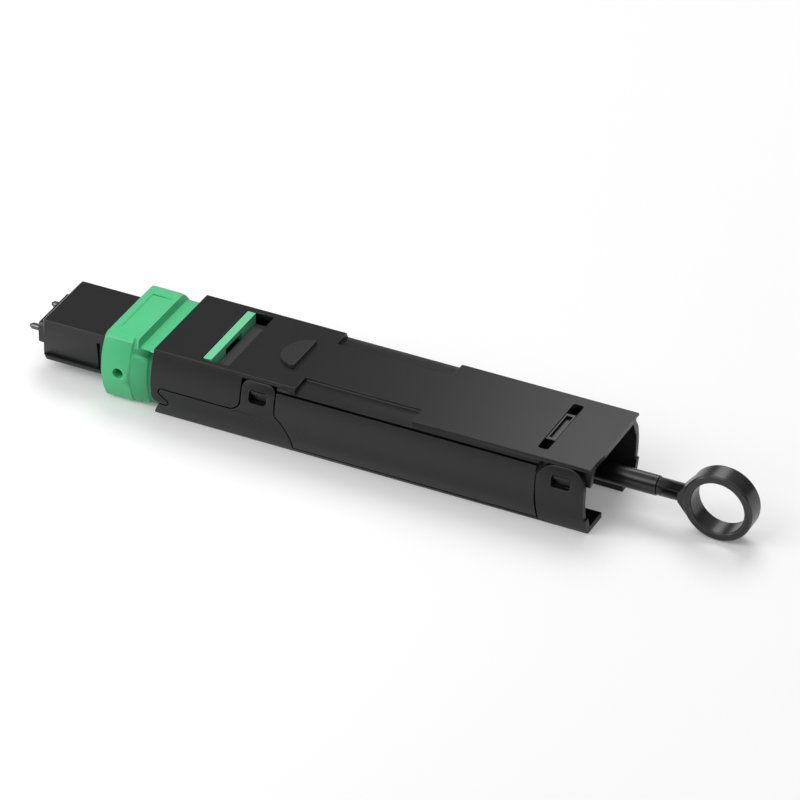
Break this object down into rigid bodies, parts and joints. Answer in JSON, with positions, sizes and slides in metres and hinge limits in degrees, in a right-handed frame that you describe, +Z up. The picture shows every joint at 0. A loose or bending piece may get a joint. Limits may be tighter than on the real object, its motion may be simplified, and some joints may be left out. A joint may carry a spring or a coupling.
{
  "type": "fibre loopback module",
  "caption": "Slim multi-fibre loopback module: pinned push-pull plug with a green coupling, snap-together black housing for the turned fibres, and a pull rod with a finger ring.",
  "frame": {"origin": "middle of the housing's base face, below the middle of the top plate", "axes": "+X along the module towards the ring, -X towards the plug's nose, +Z up from the base face"},
  "size_m": [0.081, 0.0135, 0.0081],
  "materials": {
    "cover_plastic": "satin moulded black",
    "body_plastic": "satin moulded black",
    "plug_plastic": "satin moulded black",
    "ferrule_plastic": "filled moulded plastic",
    "coupling_plastic": "satin moulded green",
    "rod_plastic": "semi-gloss moulded black",
    "pin_steel": "ground steel",
    "spring_steel": "drawn spring wire and stamped plate",
    "boot_rubber": "soft moulded",
    "fibre_coating": "coated fibre"
  },
  "bodies": {
    "housing": {"top_cover": "cover_plastic", "bottom_cover": "cover_plastic", "loop_body": "body_plastic", "plug_housing": "plug_plastic", "spring_push": "plug_plastic", "fibre_loops": "fibre_coating", "ferrule_spring": "spring_steel", "coupling_spring_left": "spring_steel", "coupling_spring_right": "spring_steel"},
    "release": {"coupling": "coupling_plastic", "pull_rod": "rod_plastic", "pull_ring": "rod_plastic"},
    "ferrule_set": {"ferrule": "ferrule_plastic", "guide_pin_left": "pin_steel", "guide_pin_right": "pin_steel", "pin_clamp": "spring_steel", "ferrule_boot": "boot_rubber"}
  },
  "joints": [
    {"name": "release_slide", "type": "slide", "parent": "housing", "child": "release", "axis": [1, 0, 0], "range_m": [0, 0.0018], "stiffness_N_per_m": 1500, "springref_m": -0.001, "deforming": ["coupling_spring_left", "coupling_spring_right"]},
    {"name": "ferrule_float", "type": "slide", "parent": "housing", "child": "ferrule_set", "axis": [1, 0, 0], "range_m": [0, 0.0006], "stiffness_N_per_m": 3000, "springref_m": -0.001, "deforming": ["ferrule_spring"]}
  ]
}
